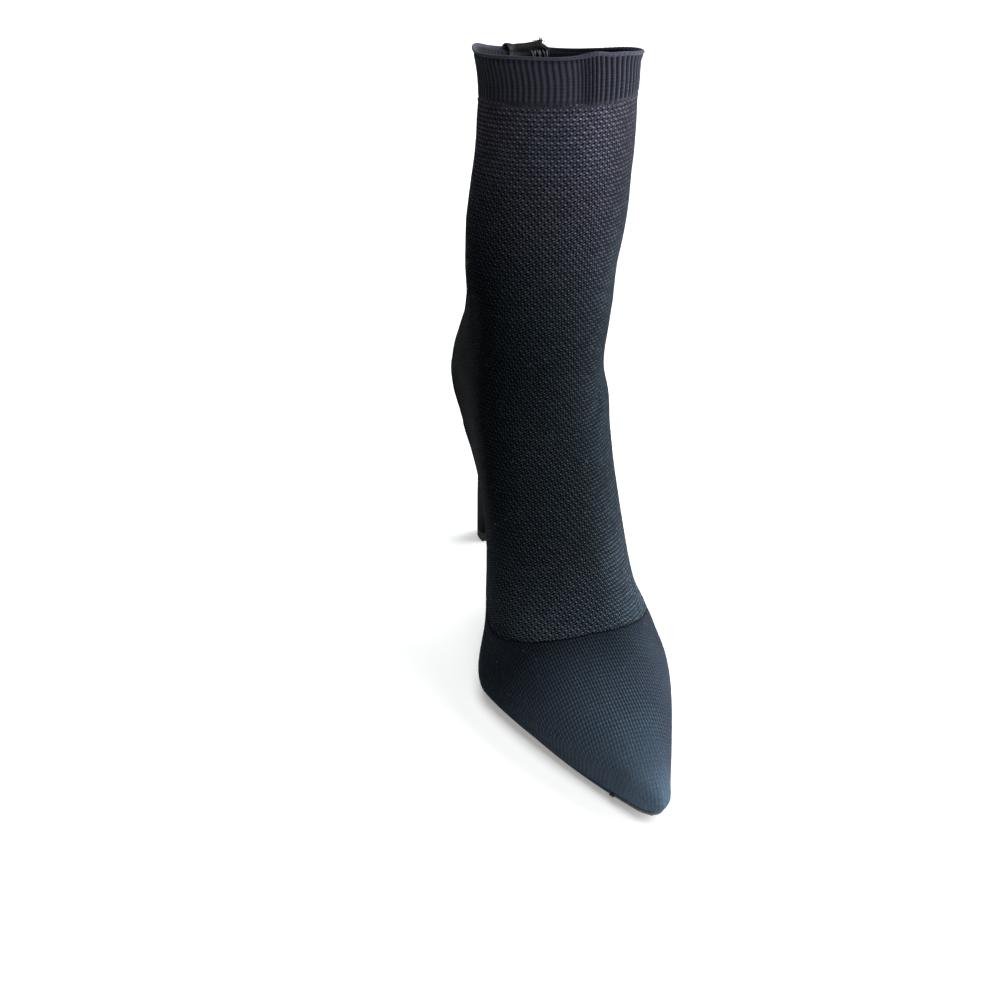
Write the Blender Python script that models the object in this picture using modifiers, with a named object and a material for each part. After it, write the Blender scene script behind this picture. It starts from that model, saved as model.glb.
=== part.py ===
"""Knit ankle boot for the left foot: pointed toe, slim high heel, sock shaft with a ribbed cuff.

The boot stands on its tread and heel tip. +Z is up, the toe points to -Y, the outer side of the
foot is at +X, and the origin lies on the floor under the middle of the boot.
"""

import math
from collections import namedtuple

import bmesh
import bpy
import numpy as np
from mathutils import Vector

MM = 0.001  # sizes below are in millimetres, meshes in metres

# Driving dimensions
LENGTH = 231.0  # toe tip to the back of the counter
SEAT_HEIGHT = 82.0  # underside of the heel seat above the floor, at its back edge
WALL = 2.2  # knit with its lining
GAP = 0.3  # between pieces that meet
MIDDLE_X = 2.2  # middle of the boot's width, measured from the toe tip towards the outer side

# Sole, measured from the toe tip towards the heel
SEAT_BACK = 225.5
BREAST = 186.0  # where the outsole ends at the heel
TREAD_FRONT = 48.0
TREAD_BACK = 96.0
TOE_SPRING = 4.0
SEAT_SLOPE = 0.35  # slope at the back of the seat, as a share of the shank's mean slope
SOLE_THICKNESS = 3.0
SOLE_CHAMFER = 0.8
SOLE_STATIONS = 30
TIP_START = 0.2  # the sole's first section, behind the very tip

# Insole
INSOLE_TIP = 8.0  # behind the sole's tip
INSOLE_INSET = 3.2
INSOLE_THICKNESS = 1.8

# Cuff and its rolled rim
CUFF_HEIGHT = 17.0
CUFF_SWELL = 0.5
CUFF_STEP = 0.8
RIM_HEIGHT = 3.2
RIM_SWELL = 0.9

# Pull loop over the collar at the centre back
LOOP_WIDTH = 19.0
LOOP_THICKNESS = 1.2
LOOP_OUTSIDE = 20.0  # how far it reaches down outside and inside
LOOP_INSIDE = 34.0
LOOP_SLACK = 0.5  # how much further it stands off the wall inside
LOOP_STRIPS = 6
LOOP_STEPS = 8
BEND_STEPS = 6

# Heel tip
LIFT_HEIGHT = 5.0

# Materials: colour, roughness
KNIT = (0.016, 0.018, 0.023), 0.85
LEATHER = (0.008, 0.008, 0.009), 0.35
SOCK_LINING = (0.012, 0.012, 0.013), 0.7
SOLE_BLACK = (0.010, 0.010, 0.011), 0.55
HEEL_BLACK = (0.009, 0.009, 0.011), 0.6
LIFT_BLACK = (0.014, 0.014, 0.015), 0.5

# Sections of the upper from the sole's edge to the collar, each a closed ring round the boot.
# front and back are its ends on the centre line, as distance d from the toe tip and height z.
# Up to the shoulder the ring widens to the half widths inner and outer, and behind heel_d it rounds
# off from the half width heel. Between them the sides draw in by waist. point is 1 for the pointed
# toe and 0 for an elliptical front. sag is the share of the sole's arch that the ring follows.
# x_front and x_back shift the ring's ends sideways.
Ring = namedtuple(
    "Ring",
    "front_d front_z back_d back_z shoulder_in shoulder_out inner outer heel_d heel "
    "waist_in waist_out point sag x_front x_back",
)
RINGS = [
    Ring(2.5, 6.9, 225.5, 85.3, 88, 95, 38.0, 39.0, 206, 19.0, 15.5, 4.5, 1.0, 1.0, 0.0, 6.2),
    Ring(0.0, 9.0, 227.0, 89.3, 88, 95, 42.8, 40.8, 208, 20.4, 17.5, 4.5, 1.0, 1.0, 0.0, 6.4),
    Ring(1.2, 12.8, 229.0, 97.0, 88, 96, 44.4, 41.6, 208, 22.4, 18.5, 4.0, 1.0, 1.0, 0.0, 6.6),
    Ring(8.0, 17.0, 230.6, 106.0, 89, 97, 43.0, 40.8, 206, 24.7, 16.5, 3.0, 0.8, 1.0, 0.0, 6.8),
    Ring(23.0, 21.0, 231.0, 113.0, 92, 99, 38.4, 38.8, 203, 25.6, 7.5, 1.5, 0.5, 1.0, 0.3, 6.8),
    Ring(43.0, 27.0, 230.2, 119.5, 98, 106, 34.6, 36.2, 201, 25.6, 5.0, 0.0, 0.2, 1.0, 0.8, 6.8),
    Ring(65.0, 34.5, 227.0, 126.5, 109, 116, 31.2, 34.2, 197, 25.8, 2.5, 0.0, 0.0, 1.0, 1.6, 6.9),
    Ring(87.0, 46.0, 221.5, 134.0, 126, 131, 29.0, 34.0, 191, 26.4, 0.8, 0.0, 0.0, 1.0, 3.2, 7.2),
    Ring(108.0, 65.0, 214.5, 143.0, 144, 147, 28.6, 33.2, 185, 27.4, 0.0, 0.0, 0.0, 0.95, 5.0, 7.8),
    Ring(123.0, 88.0, 208.0, 154.5, 156, 157, 29.0, 32.2, 177, 28.6, 0.0, 0.0, 0.0, 0.7, 6.8, 8.8),
    Ring(131.0, 116.0, 203.0, 171.0, 163, 163, 29.2, 29.6, 170, 29.9, 0.0, 0.0, 0.0, 0.35, 8.8, 9.8),
    Ring(132.5, 152.0, 199.5, 191.0, 165, 165, 32.0, 32.0, 165, 32.0, 0.0, 0.0, 0.0, 0.1, 10.4, 10.8),
    Ring(131.0, 192.0, 196.5, 209.0, 163, 163, 32.8, 32.8, 163, 32.8, 0.0, 0.0, 0.0, 0.0, 13.0, 13.0),
    Ring(127.0, 239.0, 193.2, 236.0, 160, 160, 30.9, 30.9, 160, 30.9, 0.0, 0.0, 0.0, 0.0, 14.2, 14.2),
    Ring(125.5, 256.0, 192.0, 253.0, 158, 158, 31.8, 31.8, 158, 31.8, 0.0, 0.0, 0.0, 0.0, 12.7, 12.7),
]
FEATHER = RINGS[0]
INSOLE_EDGE = FEATHER._replace(
    front_d=FEATHER.front_d + INSOLE_TIP,
    back_d=FEATHER.back_d - INSOLE_INSET,
    inner=FEATHER.inner - INSOLE_INSET,
    outer=FEATHER.outer - INSOLE_INSET,
    heel=FEATHER.heel - INSOLE_INSET,
)
CUFF_FOOT = len(RINGS) - 2
TOE_POWER_IN = 1.25  # width of the pointed front grows as 1 - (1 - u) ** power
TOE_POWER_OUT = 1.5
TOE_BLUNT_IN = 4.5  # how far in front of the tip each side would reach the middle
TOE_BLUNT_OUT = 8.0
TIP_ROUND = 4.0  # length over which the tip is rounded
COLUMNS = 60
RINGS_PER_ROW = 2

# Sections of the heel from the seat to the tip, each a smaller copy of the seat's outline.
# z is the height at the back, half the half width, tilt the share of the seat's slope.
HeelRow = namedtuple("HeelRow", "z front back half tilt x")
HEEL_ROWS = [
    HeelRow(85.0, 186.3, 225.5, 19.0, 1.0, 6.2),
    HeelRow(78.0, 189.5, 225.3, 15.8, 1.0, 5.6),
    HeelRow(70.0, 194.0, 225.2, 12.0, 1.0, 4.9),
    HeelRow(62.0, 198.6, 225.2, 9.0, 0.95, 4.2),
    HeelRow(53.0, 203.2, 225.4, 7.2, 0.85, 3.6),
    HeelRow(43.0, 207.2, 225.7, 6.5, 0.7, 3.3),
    HeelRow(30.0, 210.8, 226.2, 6.3, 0.45, 3.2),
    HeelRow(16.0, 212.9, 226.5, 6.2, 0.2, 3.2),
    HeelRow(LIFT_HEIGHT + GAP, 213.6, 226.6, 6.2, 0.0, 3.2),
]
LIFT_ROWS = [
    HeelRow(LIFT_HEIGHT, 213.6, 226.6, 6.2, 0.0, 3.2),
    HeelRow(0.0, 213.6, 226.6, 6.2, 0.0, 3.2),
]
HEEL_SIDE_STEPS = 14


def sole_bottom(d):
    """Height of the sole's underside: toe spring, flat tread, arched shank, sloping seat."""
    if d < TREAD_FRONT:
        return TOE_SPRING * ((TREAD_FRONT - d) / TREAD_FRONT) ** 2
    u = max(0.0, (d - TREAD_BACK) / (SEAT_BACK - TREAD_BACK))
    return SEAT_HEIGHT * ((3 - SEAT_SLOPE) * u**2 + (SEAT_SLOPE - 2) * u**3)


def sole_top(d):
    return sole_bottom(d) + SOLE_THICKNESS


def mix(a, b, share):
    return a + (b - a) * share


def smooth(u):
    return u * u * (3 - 2 * u)


def arc(u):
    """Rise of a quarter ellipse from 0 at u = 0 to 1 at u = 1 and beyond."""
    return math.sqrt(1 - (1 - min(max(u, 0.0), 1.0)) ** 2)


def cosine_steps(start, end, count):
    """Distances from start to end, closer together at both ends."""
    return [mix(start, end, (1 - math.cos(math.pi * i / count)) / 2) for i in range(count + 1)]


def spline_row(rows, t):
    """Row of a table at position t, a whole number at each row, on a smooth curve through them."""
    table = np.array(rows)
    i = min(int(t), len(table) - 2)
    u = t - i
    before = table[i - 1] if i else 2 * table[0] - table[1]
    after = table[i + 2] if i + 2 < len(table) else 2 * table[-1] - table[-2]
    a, b = table[i], table[i + 1]
    slope_a = (b - before) / 2
    slope_b = (after - a) / 2
    cubic = 2 * (a - b) + slope_a + slope_b
    square = 3 * (b - a) - 2 * slope_a - slope_b
    return type(rows[0])(*(((cubic * u + square) * u + slope_a) * u + a))


def to_boot(x, d, z):
    """Point in the boot's frame, in metres."""
    return Vector((x - MIDDLE_X, d - LENGTH / 2, z)) * MM


def half_width(ring, d, outer):
    """Half width of a ring at distance d, on the outer or the inner side of the foot."""
    if outer:
        shoulder, width, waist = ring.shoulder_out, ring.outer, ring.waist_out
        power, blunt = TOE_POWER_OUT, TOE_BLUNT_OUT
    else:
        shoulder, width, waist = ring.shoulder_in, ring.inner, ring.waist_in
        power, blunt = TOE_POWER_IN, TOE_BLUNT_IN
    heel_d = max(ring.heel_d, shoulder)
    if d < shoulder:
        point = max(0.0, ring.point)
        blunt *= point
        behind = d - ring.front_d
        u = (behind + blunt) / (shoulder - ring.front_d + blunt)
        wedge = 1 - (1 - u) ** mix(2, power, point)
        return width * wedge ** mix(0.5, 1, point) * arc(behind / TIP_ROUND) ** point
    if d < heel_d:
        u = (d - shoulder) / (heel_d - shoulder)
        return mix(width, ring.heel, smooth(u)) - waist * math.sin(math.pi * u) ** 2
    return ring.heel * arc((ring.back_d - d) / (ring.back_d - heel_d))


def ring_point(ring, turn, swell=0.0):
    """Point of a ring: turn 0 is the front, 0.25 the inner side, 0.5 the back, 0.75 the outer side."""
    s = (1 - math.cos(2 * math.pi * turn)) / 2
    d = mix(ring.front_d, ring.back_d, s)
    outer = turn > 0.5
    width = half_width(ring, d, outer)
    chord = mix(sole_top(ring.front_d), sole_top(ring.back_d), s)
    z = mix(ring.front_z, ring.back_z, s) + ring.sag * (sole_top(d) - chord)
    x = mix(ring.x_front, ring.x_back, s) + (width if outer else -width)
    outward = Vector((-math.sin(2 * math.pi * turn), -math.cos(2 * math.pi * turn), 0))
    return to_boot(x, d, z) + outward * swell * MM


def cuff_swell(below):
    """How far the cuff stands out at a height below the rim."""
    if below >= CUFF_HEIGHT:
        return 0.0
    half_rim = RIM_HEIGHT / 2
    bead = max(0.0, 1 - ((below - half_rim) / half_rim) ** 2)
    return CUFF_SWELL + RIM_SWELL * math.sqrt(bead)


def cuff_point(below, turn):
    """Point of the upper at a height below the rim, in or just under the cuff."""
    ring = spline_row(RINGS, CUFF_FOOT + 1 - below / CUFF_HEIGHT)
    return ring_point(ring, turn, cuff_swell(below))


def sole_edges(d, ring=FEATHER):
    """Sideways positions of the sole's inner and outer edge at distance d."""
    middle = mix(FEATHER.x_front, FEATHER.x_back, (d - FEATHER.front_d) / (SEAT_BACK - FEATHER.front_d))
    return middle - half_width(ring, d, False), middle + half_width(ring, d, True)


def new_object(name, material, mesh, collection):
    obj = bpy.data.objects.new(name, mesh)
    colour, roughness = material
    surface = bpy.data.materials.new(name)
    surface.use_nodes = True
    shader = surface.node_tree.nodes["Principled BSDF"]
    shader.inputs["Base Color"].default_value = (*colour, 1)
    shader.inputs["Roughness"].default_value = roughness
    shader.inputs["Metallic"].default_value = 0
    mesh.materials.append(surface)
    mesh.shade_smooth()
    collection.objects.link(obj)
    return obj


def loft(name, sections, closed=True, caps=True):
    """Mesh through sections of equally many points, each turning clockwise seen from the next one."""
    bm = bmesh.new()
    rows = [[bm.verts.new(point) for point in section] for section in sections]
    count = len(rows[0])
    for low, high in zip(rows, rows[1:]):
        for i in range(count if closed else count - 1):
            j = (i + 1) % count
            bm.faces.new((low[i], high[i], high[j], low[j]))
    if caps:
        bm.faces.new(rows[0])
        bm.faces.new(reversed(rows[-1]))
    mesh = bpy.data.meshes.new(name)
    bm.to_mesh(mesh)
    bm.free()
    return mesh


def solidify(obj, thickness, offset):
    shell = obj.modifiers.new("wall", "SOLIDIFY")
    shell.thickness = thickness * MM
    shell.offset = offset


def make_upper(collection):
    turns = [i / COLUMNS for i in range(COLUMNS)]
    sections = []
    for k in range(CUFF_FOOT * RINGS_PER_ROW):
        ring = spline_row(RINGS, k / RINGS_PER_ROW)
        sections.append([ring_point(ring, turn) for turn in turns])
    heights = [CUFF_HEIGHT, CUFF_HEIGHT - CUFF_STEP, CUFF_HEIGHT / 2]
    heights += [RIM_HEIGHT * (1 + math.cos(math.pi * k / 5)) / 2 for k in range(6)]
    for below in heights:
        sections.append([cuff_point(below, turn) for turn in turns])
    upper = new_object("upper", KNIT, loft("upper", sections, caps=False), collection)
    solidify(upper, WALL, -1)


def make_outsole(collection):
    sections = []
    for d in cosine_steps(FEATHER.front_d + TIP_START, BREAST, SOLE_STATIONS):
        inner, outer = sole_edges(d)
        chamfer = min(SOLE_CHAMFER, (outer - inner) / 4)
        low, high = sole_bottom(d), sole_top(d)
        outline = [
            (outer, high),
            (inner, high),
            (inner, low + chamfer),
            (inner + chamfer, low),
            (outer - chamfer, low),
            (outer, low + chamfer),
        ]
        sections.append([to_boot(x, d, z) for x, z in outline])
    new_object("outsole", SOLE_BLACK, loft("outsole", sections), collection)


def make_insole(collection):
    sections = []
    for d in cosine_steps(INSOLE_EDGE.front_d + TIP_START, INSOLE_EDGE.back_d - TIP_START, SOLE_STATIONS):
        inner, outer = sole_edges(d, INSOLE_EDGE)
        low = sole_top(d) + GAP
        high = low + INSOLE_THICKNESS
        outline = [(outer, high), (inner, high), (inner, low), (outer, low)]
        sections.append([to_boot(x, d, z) for x, z in outline])
    new_object("insole", SOCK_LINING, loft("insole", sections), collection)


def heel_section(row):
    """Seat's outline brought to the size and height of a heel row."""
    stations = cosine_steps(BREAST, SEAT_BACK, HEEL_SIDE_STEPS)
    inner_side = []
    outer_side = []
    for d in stations:
        inner, outer = sole_edges(d)
        along = mix(row.front, row.back, (d - BREAST) / (SEAT_BACK - BREAST))
        z = row.z + row.tilt * (sole_top(d) - sole_top(SEAT_BACK))
        middle = FEATHER.x_back
        scale = row.half / FEATHER.heel
        inner_side.append(to_boot(row.x + (inner - middle) * scale, along, z))
        outer_side.append(to_boot(row.x + (outer - middle) * scale, along, z))
    return inner_side + outer_side[-2::-1]


def make_heel(collection):
    steps = (len(HEEL_ROWS) - 1) * RINGS_PER_ROW
    rows = [spline_row(HEEL_ROWS, k / RINGS_PER_ROW) for k in range(steps, -1, -1)]
    sections = [heel_section(row) for row in rows]
    new_object("heel", HEEL_BLACK, loft("heel", sections), collection)
    sections = [heel_section(row) for row in reversed(LIFT_ROWS)]
    new_object("top_lift", LIFT_BLACK, loft("top_lift", sections), collection)


def loop_path(turn):
    """Middle line of the pull loop at one turn: up the outside, over the rim, down the inside."""
    outward = Vector((-math.sin(2 * math.pi * turn), -math.cos(2 * math.pi * turn), 0)) * MM
    stand_off = GAP + LOOP_THICKNESS / 2
    outside = [
        cuff_point(below, turn) + outward * stand_off
        for below in np.linspace(LOOP_OUTSIDE, RIM_HEIGHT / 2, LOOP_STEPS)
    ]
    inside = [
        cuff_point(below, turn) - outward * (WALL + stand_off + LOOP_SLACK)
        for below in np.linspace(RIM_HEIGHT / 2, LOOP_INSIDE, LOOP_STEPS)
    ]
    centre = (outside[-1] + inside[0]) / 2
    reach = outside[-1] - centre
    rise = Vector((0, 0, (RIM_HEIGHT / 2 + stand_off) * MM))
    angles = [math.pi * k / BEND_STEPS for k in range(1, BEND_STEPS)]
    bend = [centre + reach * math.cos(angle) + rise * math.sin(angle) for angle in angles]
    return outside + bend + inside


def make_pull_loop(collection):
    radius = RINGS[-1].heel
    half_turn = LOOP_WIDTH / 2 / radius / (2 * math.pi)
    turns = np.linspace(0.5 - half_turn, 0.5 + half_turn, LOOP_STRIPS + 1)
    paths = [loop_path(turn) for turn in turns]
    mesh = loft("pull_loop", list(zip(*paths)), closed=False, caps=False)
    pull_loop = new_object("pull_loop", LEATHER, mesh, collection)
    solidify(pull_loop, LOOP_THICKNESS, 0)


def build():
    for obj in list(bpy.data.objects):
        bpy.data.objects.remove(obj)
    boot = bpy.data.collections.new("knit_ankle_boot")
    bpy.context.scene.collection.children.link(boot)
    make_upper(boot)
    make_outsole(boot)
    make_insole(boot)
    make_heel(boot)
    make_pull_loop(boot)


build()
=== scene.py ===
"""Looks of the knit ankle boot: knit upper with ribbed cuff, leather pull loop, covered heel and sole."""

import math

import bmesh
import bpy
import numpy as np
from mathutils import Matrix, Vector


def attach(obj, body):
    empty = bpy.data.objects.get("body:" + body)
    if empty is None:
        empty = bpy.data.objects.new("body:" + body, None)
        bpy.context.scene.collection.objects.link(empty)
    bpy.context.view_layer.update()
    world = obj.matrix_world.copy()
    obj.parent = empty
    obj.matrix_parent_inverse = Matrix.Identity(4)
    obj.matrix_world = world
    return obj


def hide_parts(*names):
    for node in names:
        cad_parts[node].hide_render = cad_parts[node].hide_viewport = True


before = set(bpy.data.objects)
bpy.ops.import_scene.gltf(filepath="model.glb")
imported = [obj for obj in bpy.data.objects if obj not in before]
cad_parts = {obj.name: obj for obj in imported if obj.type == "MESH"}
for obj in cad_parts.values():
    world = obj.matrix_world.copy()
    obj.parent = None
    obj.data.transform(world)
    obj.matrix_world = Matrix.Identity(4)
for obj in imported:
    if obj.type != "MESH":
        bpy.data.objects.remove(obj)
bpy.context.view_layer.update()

MM = 0.001
TINY = 1e-9

# Sizes shared with the solids, in millimetres. d runs from the toe's tip to the back.
LENGTH = 231.0
MIDDLE_X = 2.2
SEAT_HEIGHT = 82.0
SEAT_BACK = 225.5
TREAD_FRONT = 48.0
TREAD_BACK = 96.0
TOE_SPRING = 4.0
SEAT_SLOPE = 0.35
SOLE_THICKNESS = 3.0
WALL = 2.2
CUFF_HEIGHT = 17.0
CUFF_SWELL = 0.5
RIM_HEIGHT = 3.2
RIM_SWELL = 0.9
TOE_POWER_IN, TOE_POWER_OUT = 1.25, 1.5
TOE_BLUNT_IN, TOE_BLUNT_OUT = 4.5, 8.0
TIP_ROUND = 4.0

# Sections of the upper from the sole's edge to the collar: front d and z, back d and z, shoulders,
# half widths, heel, waists, point, sag and sideways shifts, as in the solid
RINGS = np.array([
    (2.5, 6.9, 225.5, 85.3, 88, 95, 38.0, 39.0, 206, 19.0, 15.5, 4.5, 1.0, 1.0, 0.0, 6.2),
    (0.0, 9.0, 227.0, 89.3, 88, 95, 42.8, 40.8, 208, 20.4, 17.5, 4.5, 1.0, 1.0, 0.0, 6.4),
    (1.2, 12.8, 229.0, 97.0, 88, 96, 44.4, 41.6, 208, 22.4, 18.5, 4.0, 1.0, 1.0, 0.0, 6.6),
    (8.0, 17.0, 230.6, 106.0, 89, 97, 43.0, 40.8, 206, 24.7, 16.5, 3.0, 0.8, 1.0, 0.0, 6.8),
    (23.0, 21.0, 231.0, 113.0, 92, 99, 38.4, 38.8, 203, 25.6, 7.5, 1.5, 0.5, 1.0, 0.3, 6.8),
    (43.0, 27.0, 230.2, 119.5, 98, 106, 34.6, 36.2, 201, 25.6, 5.0, 0.0, 0.2, 1.0, 0.8, 6.8),
    (65.0, 34.5, 227.0, 126.5, 109, 116, 31.2, 34.2, 197, 25.8, 2.5, 0.0, 0.0, 1.0, 1.6, 6.9),
    (87.0, 46.0, 221.5, 134.0, 126, 131, 29.0, 34.0, 191, 26.4, 0.8, 0.0, 0.0, 1.0, 3.2, 7.2),
    (108.0, 65.0, 214.5, 143.0, 144, 147, 28.6, 33.2, 185, 27.4, 0.0, 0.0, 0.0, 0.95, 5.0, 7.8),
    (123.0, 88.0, 208.0, 154.5, 156, 157, 29.0, 32.2, 177, 28.6, 0.0, 0.0, 0.0, 0.7, 6.8, 8.8),
    (131.0, 116.0, 203.0, 171.0, 163, 163, 29.2, 29.6, 170, 29.9, 0.0, 0.0, 0.0, 0.35, 8.8, 9.8),
    (132.5, 152.0, 199.5, 191.0, 165, 165, 32.0, 32.0, 165, 32.0, 0.0, 0.0, 0.0, 0.1, 10.4, 10.8),
    (131.0, 192.0, 196.5, 209.0, 163, 163, 32.8, 32.8, 163, 32.8, 0.0, 0.0, 0.0, 0.0, 13.0, 13.0),
    (127.0, 239.0, 193.2, 236.0, 160, 160, 30.9, 30.9, 160, 30.9, 0.0, 0.0, 0.0, 0.0, 14.2, 14.2),
    (125.5, 256.0, 192.0, 253.0, 158, 158, 31.8, 31.8, 158, 31.8, 0.0, 0.0, 0.0, 0.0, 12.7, 12.7),
])
CUFF_FOOT = len(RINGS) - 2
COLLAR_RADIUS = RINGS[-1][9]
NOISE_ROWS = 64

# Knit of the shaft: stitches in millimetres, and how its upright rows of stitches, the wales, lean
STITCH_HEIGHT = 1.68
STITCHES_ROUND = 82
WALE_LEAN = 0.075  # stitches sideways for each course down the shaft
WALE_STRAIGHT = 95  # courses down to where the lean turns
WALE_TURN = 0.115
COURSES_EVEN = 60.0  # millimetres below the cuff from where the courses grow taller
COURSES_GROW = 0.00021
# Knit of the vamp and of the foot's sides: stitches in millimetres
VAMP_COLUMN, VAMP_ROW = 1.3, 1.85
VAMP_LEAN, VAMP_BOW = 0.2, 0.0025  # how its columns lean and curve along the foot
VAMP_DROP, VAMP_CROWN = 1.2, 12.0  # share of the slope in its width, and half width of the level middle
SIDE_COLUMN, SIDE_ROW = 1.45, 1.5
SIDE_START, SIDE_BLEND = 95.0, 30.0  # d from where the vamp's knit runs along the side

# Rows of the knit's mesh by section: start, end and step, closer along the seam
BODY_ROWS = ((0, 3.6, 0.09), (3.6, 6.6, 0.035), (6.6, CUFF_FOOT, 0.062))
BODY_COLUMNS = 320
LINING_ROWS = 40
TUCK = 0.25  # how far the knit runs up inside the cuff, in sections
TUCK_ROWS = np.array([0.0, 0.06, 0.5, 1.0])
TUCK_DEPTH = 0.5
CUFF_LAYER = 0.7  # the knit's wall is thinner by this where the cuff lies inside it

# Edge of the knit over the sole: millimetres out and down, from under the foot outwards
LIP = ((0.08, 0.1), (0.1, 2.05), (0.4, 2.2), (0.64, 1.55), (0.56, 0.65))
WELT_ROWS = 4
WELT_TINT = np.array([5.2, 4.8, 4.7])  # the edge's underside round the toe, paler than the knit
WELT_END, WELT_FADE = 21.0, 7.0

# Where the vamp's seam crosses each turn, as a position in the table of sections
SEAM_TURN = np.array([0.0, 0.03, 0.055, 0.08, 0.105, 0.135, 0.1725, 0.1925, 0.2125, 0.25, 0.32, 0.42, 0.5])
SEAM_ROW = np.array([6.36, 6.31, 6.22, 6.08, 5.88, 5.58, 5.02, 4.72, 4.42, 4.1, 3.9, 4.1, 4.3])
# Furrow of the seam with a ridge above and below: millimetres off the seam, width and height
SEAM_FORM = ((0.0, 0.55, -0.4), (1.3, 0.9, 0.3), (-1.4, 0.9, 0.12))
# Creases where the seam runs out on the outer side: section and turn of each end
SEAM_CREASES = ((5.75, 0.893, 6.05, 0.878), (6.15, 0.876, 6.5, 0.868))
# Slack of the shaft: height in millimetres, cells round, cell height, seed, and the sections it fades at
SLACK = ((0.4, 6, 26.0, 3, (7, 2, 12.2, 0.7)), (0.12, 16, 9.0, 5, (6, 2, 12.5, 0.5)))
# Corrections of the side outlines in millimetres, by height
OUTER_Z = np.array([10, 30, 60, 85, 100, 118, 130, 140, 155, 163, 172, 190, 205, 228, 242])
OUTER_OUT = np.array([0.2, 0.6, 0.5, 0.1, 0.0, 0.0, 0.5, 1.0, 1.0, 0.4, -0.3, 0.6, 0.8, 0.7, 0.2])
INNER_Z = np.array([100, 135, 158, 168, 190, 203, 214, 222, 230, 242])
INNER_OUT = np.array([0.0, 0.0, 0.1, 0.7, 0.8, 0.1, -0.6, -0.2, 0.5, 0.3])

# Soft bumps round the leg: turn, width in turns and height in millimetres
FOOT_WAVE = ((0.79, 0.12, 1.7),)  # the cuff's foot lies higher on the outer side
OUTER_PLACE = ((0.785, 0.1, 1.0),)
INNER_PLACE = ((0.25, 0.09, 1.0),)
TIP_FORM = ((0.955, 0.024, 0.6), (0.984, 0.014, 0.6))
RIM_WAVE = (
    (0.335, 0.07, 2.5), (0.585, 0.06, -1.3), (0.66, 0.05, -0.7),
    (0.987, 0.024, 1.15), (0.93, 0.04, 0.5), (0.06, 0.05, -0.4),
)
CUFF_FOLD = ((0.99, 0.018, 0.45), (0.018, 0.02, -0.4))
RIM_FLARE = ((0.78, 0.12, 0.9),)

# Tint of the knit by height on the shaft: the yarn's colour, greyer towards the top, with painted light and
# shade in it; painted light and shade on the lit outer side, and painted shade on the inner side
SHAFT_Z = [36, 45, 60, 80, 105, 140, 170, 205, 240]
SHAFT_TONE = [0.92, 0.7, 0.44, 0.44, 0.52, 0.6, 0.88, 1.4, 2.7]
# painted light and shade on the lit outer side of the shaft, by height
LIT_OUTER_Z = [43, 58, 78, 105, 140, 170, 205, 235]
LIT_OUTER_TONE = [1.0, 1.6, 1.05, 0.75, 0.1, 0.23, -0.3, -0.54]
# painted shade on the inner side of the shaft, by height
SHADE_Z = [40, 100, 170, 215]
SHADE_TONE = [0.55, 0.45, 0.45, 0.0]
# and by d on the vamp: the yarn's colour with painted light and shade, lightest at the toe, and painted light
# and shade along its lit outer edge
VAMP_D = [0, 6, 14, 24, 33, 52, 75, 100]
VAMP_TONE = [3.35, 2.9, 2.08, 1.8, 1.52, 1.03, 0.32, 0.28]
# painted light and shade along the vamp's lit outer edge, by d
LIT_EDGE_D = [12, 24, 40, 50, 60, 75, 90]
LIT_EDGE_TONE = [-0.45, -0.36, -0.1, 0.25, 0.5, 1.8, 1.8]
ANKLE_HUE, TOP_HUE = np.array([0.74, 1.0, 1.28]), np.array([0.97, 0.97, 1.34])
VAMP_HUE, LIT_EDGE_HUE = np.array([0.7, 0.98, 1.36]), np.array([0.79, 0.95, 1.34])

# Cuff
RIBS = 84
RIB_STEPS = 8
RIB_SOFT, RIB_SHARP = 0.36, 0.58  # height of the ribs in millimetres
BAND = 0.7  # thickness of one layer of the cuff
ROLL, ROLL_SHARP = 0.6, 0.3  # radius of the rolled rim, and what the outer side adds
RIM_OUT = 0.75
CUFF_INSIDE = 6.0  # how far the inner layer runs below the cuff's foot

# Pull loop
LOOP_WIDTH = 20.2
LOOP_SHIFT = -1.0  # towards the inner side
LOOP_THICKNESS = 1.2
LOOP_OUTSIDE = 20.0
LOOP_INSIDE = 34.0
LOOP_OFF = 0.95  # its middle off the knit outside
LOOP_IN = WALL + 1.35  # and inside
LOOP_RISE = 0.75
LOOP_COLUMNS = 41
LOOP_SECTION = 44
LOOP_ROWS_OUT, LOOP_ROWS_OVER, LOOP_ROWS_IN = 34, 14, 52
GIRTH = 2 * math.pi * COLLAR_RADIUS
# Rows of stitches on the loop: first and last row of the loop, lowest and highest place across it
LOOP_STITCH_ROWS = ((48, 54, 1.5, 9.0), (15, 22, -6.5, 6.5))
STITCHES_IN_ROW = 6

# Stage
FLOOR_SIZE = 9.0
FLOOR_DROP = 0.0002
DOME_RADIUS = 8.0
SUN_COLOUR = (0.97, 0.99, 1.0)
# Lights: name, direction, strength and angle
SUNS = (
    ("ceiling", (0.03, 0.06, -1.0), 2.15, 34),
    ("window", (-0.9, 0.0, -0.43), 4.4, 60),
    ("low_window", (-1.0, 0.2, -0.15), 3.6, 60),
)
CAMERA_PLACE = (-0.1402, -0.3505, 0.297)
CAMERA_TILT, CAMERA_SWING = 60, -18


def mix(a, b, share):
    return a + (b - a) * share


def smooth(u):
    """Soft step from 0 to 1."""
    u = np.clip(u, 0.0, 1.0)
    return u * u * (3 - 2 * u)


def window(value, start, rise, end, fall):
    """1 between a start and an end, with soft steps after both."""
    return smooth((value - start) / rise) * (1 - smooth((value - end) / fall))


def bell(distance, width):
    return np.exp(-((distance / width) ** 2))


def arc(u):
    """Quarter of a circle from 0 up to 1."""
    return np.sqrt(1 - (1 - np.clip(u, 0.0, 1.0)) ** 2)


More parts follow.
